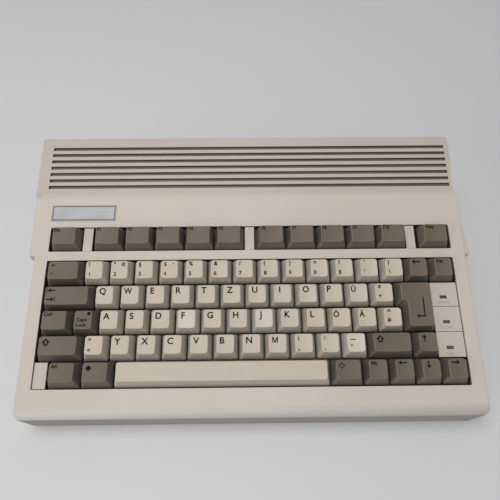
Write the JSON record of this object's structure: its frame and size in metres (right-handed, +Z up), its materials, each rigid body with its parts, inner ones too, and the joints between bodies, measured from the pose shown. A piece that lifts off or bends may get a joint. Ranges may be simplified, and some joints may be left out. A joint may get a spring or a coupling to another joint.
{
  "type": "home computer",
  "caption": "Wedge-shaped home computer with built-in keyboard, side floppy drive, card slot and rear sockets; keys press, drive parts and trapdoor move.",
  "frame": {"origin": "on the table under the middle of the case's bounding box", "axes": "+X to the user's right, +Y to the rear sockets, +Z up"},
  "size_m": [0.35, 0.24, 0.0747],
  "materials": {
    "case_plastic": "moulded, fine grain",
    "key_light": "moulded, satin",
    "key_dark": "moulded, satin",
    "field_plastic": "moulded, satin",
    "badge_metal": "brushed",
    "foot_rubber": "matt",
    "screw_steel": "plated",
    "plate_steel": "tinned",
    "port_metal": "nickel plated",
    "can_metal": "satin",
    "board_green": "lacquered board",
    "chip_black": "moulded",
    "socket_black": "moulded",
    "film": "polyester film",
    "dome_rubber": "silicone",
    "lens_clear": "clear light pipe"
  },
  "bodies": {
    "case": {"bottom_case": "case_plastic", "top_case": "case_plastic", "badge_plate": "badge_metal", "rubber_feet": "foot_rubber", "case_screws": "screw_steel", "keyboard_frame": "field_plastic", "keyboard_backplate": "plate_steel", "keyboard_membrane": "film", "key_domes": "dome_rubber", "keyboard_ribbon": "film", "status_lamp_board": "board_green", "status_lenses": "lens_clear", "motherboard": "board_green", "logic_chips": "chip_black", "memory_chips": "chip_black", "capacitors": "can_metal", "shield_plate": "plate_steel", "power_socket": "socket_black", "external_drive_port": "port_metal", "serial_port": "port_metal", "parallel_port": "port_metal", "audio_jacks": "port_metal", "video_port": "port_metal", "video_modulator": "plate_steel", "joystick_ports": "port_metal", "port_jack_screws": "screw_steel", "card_slot": "plate_steel", "drive_chassis": "plate_steel", "drive_cover": "plate_steel", "drive_ribbon": "film"},
    "trapdoor_cover": {"trapdoor_cover": "case_plastic"},
    "drive_eject_button": {"drive_eject_button": "case_plastic"},
    "drive_spindle": {"drive_spindle": "can_metal"},
    "head_carriage": {"head_carriage": "socket_black"},
    "return_key": {"return_key": "key_dark"},
    "escape_key": {"escape_key": "key_dark"},
    "help_key": {"help_key": "key_dark"},
    "backquote_key": {"backquote_key": "key_dark"},
    "backspace_key": {"backspace_key": "key_dark"},
    "delete_key": {"delete_key": "key_dark"},
    "tab_key": {"tab_key": "key_dark"},
    "control_key": {"control_key": "key_dark"},
    "caps_lock_key": {"caps_lock_key": "key_dark"},
    "left_shift_key": {"left_shift_key": "key_dark"},
    "right_shift_key": {"right_shift_key": "key_dark"},
    "cursor_up_key": {"cursor_up_key": "key_dark"},
    "left_alt_key": {"left_alt_key": "key_dark"},
    "left_command_key": {"left_command_key": "key_dark"},
    "space_bar": {"space_bar": "key_light"},
    "right_command_key": {"right_command_key": "key_dark"},
    "right_alt_key": {"right_alt_key": "key_dark"},
    "cursor_left_key": {"cursor_left_key": "key_dark"},
    "cursor_down_key": {"cursor_down_key": "key_dark"},
    "cursor_right_key": {"cursor_right_key": "key_dark"},
    "function_keys_left": {"function_keys_left": "key_dark"},
    "function_keys_right": {"function_keys_right": "key_dark"},
    "number_keys": {"number_keys": "key_light"},
    "top_letter_keys": {"top_letter_keys": "key_light"},
    "home_letter_keys": {"home_letter_keys": "key_light"},
    "bottom_letter_keys": {"bottom_letter_keys": "key_light"}
  },
  "joints": [
    {"name": "return_key_press", "type": "slide", "parent": "case", "child": "return_key", "axis": [0, 0.1908, -0.9816], "range_m": [0, 0.0038], "stiffness_N_per_m": 150, "springref_m": -0.002},
    {"name": "escape_key_press", "type": "slide", "parent": "case", "child": "escape_key", "axis": [0, 0.1908, -0.9816], "range_m": [0, 0.0038], "stiffness_N_per_m": 150, "springref_m": -0.002},
    {"name": "help_key_press", "type": "slide", "parent": "case", "child": "help_key", "axis": [0, 0.1908, -0.9816], "range_m": [0, 0.0038], "stiffness_N_per_m": 150, "springref_m": -0.002},
    {"name": "backquote_key_press", "type": "slide", "parent": "case", "child": "backquote_key", "axis": [0, 0.1908, -0.9816], "range_m": [0, 0.0038], "stiffness_N_per_m": 150, "springref_m": -0.002},
    {"name": "backspace_key_press", "type": "slide", "parent": "case", "child": "backspace_key", "axis": [0, 0.1908, -0.9816], "range_m": [0, 0.0038], "stiffness_N_per_m": 150, "springref_m": -0.002},
    {"name": "delete_key_press", "type": "slide", "parent": "case", "child": "delete_key", "axis": [0, 0.1908, -0.9816], "range_m": [0, 0.0038], "stiffness_N_per_m": 150, "springref_m": -0.002},
    {"name": "tab_key_press", "type": "slide", "parent": "case", "child": "tab_key", "axis": [0, 0.1908, -0.9816], "range_m": [0, 0.0038], "stiffness_N_per_m": 150, "springref_m": -0.002},
    {"name": "control_key_press", "type": "slide", "parent": "case", "child": "control_key", "axis": [0, 0.1908, -0.9816], "range_m": [0, 0.0038], "stiffness_N_per_m": 150, "springref_m": -0.002},
    {"name": "caps_lock_key_press", "type": "slide", "parent": "case", "child": "caps_lock_key", "axis": [0, 0.1908, -0.9816], "range_m": [0, 0.0038], "stiffness_N_per_m": 150, "springref_m": -0.002},
    {"name": "left_shift_key_press", "type": "slide", "parent": "case", "child": "left_shift_key", "axis": [0, 0.1908, -0.9816], "range_m": [0, 0.0038], "stiffness_N_per_m": 150, "springref_m": -0.002},
    {"name": "right_shift_key_press", "type": "slide", "parent": "case", "child": "right_shift_key", "axis": [0, 0.1908, -0.9816], "range_m": [0, 0.0038], "stiffness_N_per_m": 150, "springref_m": -0.002},
    {"name": "cursor_up_key_press", "type": "slide", "parent": "case", "child": "cursor_up_key", "axis": [0, 0.1908, -0.9816], "range_m": [0, 0.0038], "stiffness_N_per_m": 150, "springref_m": -0.002},
    {"name": "left_alt_key_press", "type": "slide", "parent": "case", "child": "left_alt_key", "axis": [0, 0.1908, -0.9816], "range_m": [0, 0.0038], "stiffness_N_per_m": 150, "springref_m": -0.002},
    {"name": "left_command_key_press", "type": "slide", "parent": "case", "child": "left_command_key", "axis": [0, 0.1908, -0.9816], "range_m": [0, 0.0038], "stiffness_N_per_m": 150, "springref_m": -0.002},
    {"name": "space_bar_press", "type": "slide", "parent": "case", "child": "space_bar", "axis": [0, 0.1908, -0.9816], "range_m": [0, 0.0038], "stiffness_N_per_m": 150, "springref_m": -0.002, "deforming": ["key_domes"]},
    {"name": "right_command_key_press", "type": "slide", "parent": "case", "child": "right_command_key", "axis": [0, 0.1908, -0.9816], "range_m": [0, 0.0038], "stiffness_N_per_m": 150, "springref_m": -0.002},
    {"name": "right_alt_key_press", "type": "slide", "parent": "case", "child": "right_alt_key", "axis": [0, 0.1908, -0.9816], "range_m": [0, 0.0038], "stiffness_N_per_m": 150, "springref_m": -0.002},
    {"name": "cursor_left_key_press", "type": "slide", "parent": "case", "child": "cursor_left_key", "axis": [0, 0.1908, -0.9816], "range_m": [0, 0.0038], "stiffness_N_per_m": 150, "springref_m": -0.002},
    {"name": "cursor_down_key_press", "type": "slide", "parent": "case", "child": "cursor_down_key", "axis": [0, 0.1908, -0.9816], "range_m": [0, 0.0038], "stiffness_N_per_m": 150, "springref_m": -0.002},
    {"name": "cursor_right_key_press", "type": "slide", "parent": "case", "child": "cursor_right_key", "axis": [0, 0.1908, -0.9816], "range_m": [0, 0.0038], "stiffness_N_per_m": 150, "springref_m": -0.002},
    {"name": "function_keys_left_press", "type": "slide", "parent": "case", "child": "function_keys_left", "axis": [0, 0.1908, -0.9816], "range_m": [0, 0.0038], "stiffness_N_per_m": 750, "springref_m": -0.002},
    {"name": "function_keys_right_press", "type": "slide", "parent": "case", "child": "function_keys_right", "axis": [0, 0.1908, -0.9816], "range_m": [0, 0.0038], "stiffness_N_per_m": 750, "springref_m": -0.002},
    {"name": "number_keys_press", "type": "slide", "parent": "case", "child": "number_keys", "axis": [0, 0.1908, -0.9816], "range_m": [0, 0.0038], "stiffness_N_per_m": 1950, "springref_m": -0.002},
    {"name": "top_letter_keys_press", "type": "slide", "parent": "case", "child": "top_letter_keys", "axis": [0, 0.1908, -0.9816], "range_m": [0, 0.0038], "stiffness_N_per_m": 1800, "springref_m": -0.002},
    {"name": "home_letter_keys_press", "type": "slide", "parent": "case", "child": "home_letter_keys", "axis": [0, 0.1908, -0.9816], "range_m": [0, 0.0038], "stiffness_N_per_m": 1800, "springref_m": -0.002},
    {"name": "bottom_letter_keys_press", "type": "slide", "parent": "case", "child": "bottom_letter_keys", "axis": [0, 0.1908, -0.9816], "range_m": [0, 0.0038], "stiffness_N_per_m": 1650, "springref_m": -0.002},
    {"name": "trapdoor_hinge", "type": "hinge", "parent": "case", "child": "trapdoor_cover", "pos_m": [-0.06, -0.004, 0.00598], "axis": [1, 0, 0], "range_deg": [0, 90]},
    {"name": "eject_button_slide", "type": "slide", "parent": "case", "child": "drive_eject_button", "axis": [1, 0, 0], "range_m": [0, 0.006]},
    {"name": "spindle_turn", "type": "hinge", "parent": "case", "child": "drive_spindle", "pos_m": [0.1072, 0.0515, 0.0205], "axis": [0, 0, 1], "continuous": true},
    {"name": "head_carriage_slide", "type": "slide", "parent": "case", "child": "head_carriage", "axis": [1, 0, 0], "range_m": [0, 0.014]}
  ]
}
